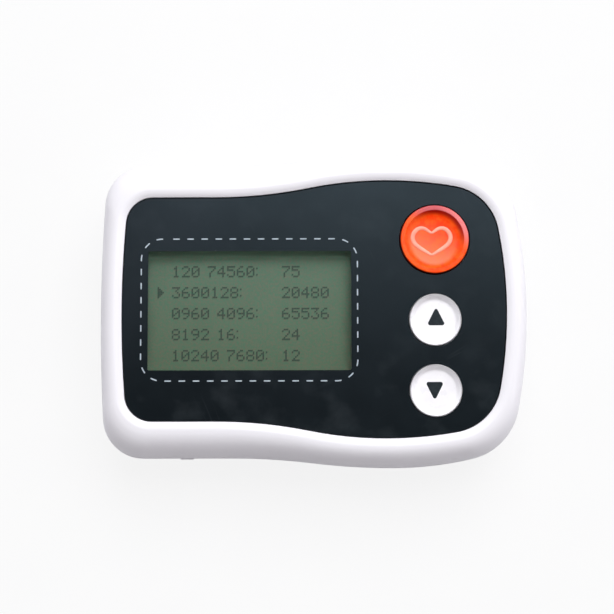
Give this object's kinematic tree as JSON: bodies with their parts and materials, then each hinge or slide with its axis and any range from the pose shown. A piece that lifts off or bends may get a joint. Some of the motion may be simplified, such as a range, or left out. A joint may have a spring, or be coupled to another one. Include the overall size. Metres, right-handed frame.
{
  "type": "holter monitor",
  "caption": "Pocket-sized wearable heart-rhythm recorder: white two-shell case, dark waisted front panel, display window, round push buttons and a sliding battery door.",
  "frame": {"origin": "middle of the flat back that the recorder lies on", "axes": "+X to the right of the display, +Y to the display's top, +Z out of the display"},
  "size_m": [0.095, 0.0698, 0.0244],
  "materials": {
    "white_case": "satin",
    "navy_panel": "satin",
    "clear_window": "clear",
    "display_glass": "grey green",
    "light_guide": "milky",
    "black_foam": "foam",
    "black_plastic": "moulded",
    "grey_plastic": "moulded",
    "amber_film": "film",
    "orange_button": "translucent",
    "white_button": "satin",
    "plunger": "moulded",
    "green_board": "lacquered",
    "steel": "plated",
    "gold": "plated",
    "grey_rubber": "soft",
    "cell_wrap": "printed sleeve",
    "label": "satin film"
  },
  "bodies": {
    "recorder": {"front_shell": "white_case", "back_shell": "white_case", "front_panel": "navy_panel", "display_window": "clear_window", "display_gasket": "black_foam", "display_glass": "display_glass", "light_guide": "light_guide", "display_frame": "black_plastic", "display_flex": "amber_film", "flex_socket": "black_plastic", "event_switch_body": "black_plastic", "up_switch_body": "black_plastic", "down_switch_body": "black_plastic", "main_board": "green_board", "board_screws": "steel", "case_screws": "steel", "case_seal": "grey_rubber", "battery_cell_upper": "cell_wrap", "battery_cell_lower": "cell_wrap", "link_contact": "steel", "plus_contact": "steel", "minus_contact": "steel", "patient_socket_shroud": "grey_plastic", "patient_socket_insert": "black_plastic", "patient_socket_pins": "gold", "data_socket_shell": "steel", "data_socket_insert": "black_plastic", "signal_chip": "black_plastic", "controller_chip": "black_plastic", "memory_chip": "black_plastic", "clock_crystal": "steel", "buzzer": "black_plastic", "clock_cell": "steel", "clock_cell_holder": "black_plastic", "rating_label": "label"},
    "event_button": {"event_button_cap": "orange_button", "event_switch_plunger": "plunger"},
    "up_button": {"up_button_cap": "white_button", "up_switch_plunger": "plunger"},
    "down_button": {"down_button_cap": "white_button", "down_switch_plunger": "plunger"},
    "door": {"battery_door": "white_case"},
    "port_cover": {"data_port_cover": "grey_rubber"}
  },
  "joints": [
    {"name": "event_button_press", "type": "slide", "parent": "recorder", "child": "event_button", "axis": [0, 0, -1], "range_m": [0, 0.0004], "stiffness_N_per_m": 5000},
    {"name": "up_button_press", "type": "slide", "parent": "recorder", "child": "up_button", "axis": [0, 0, -1], "range_m": [0, 0.0004], "stiffness_N_per_m": 4000},
    {"name": "down_button_press", "type": "slide", "parent": "recorder", "child": "down_button", "axis": [0, 0, -1], "range_m": [0, 0.0004], "stiffness_N_per_m": 4000},
    {"name": "door_slide", "type": "slide", "parent": "recorder", "child": "door", "axis": [1, 0, 0], "range_m": [0, 0.056]},
    {"name": "port_cover_pull", "type": "slide", "parent": "recorder", "child": "port_cover", "axis": [0, -1, 0], "range_m": [0, 0.004]}
  ]
}
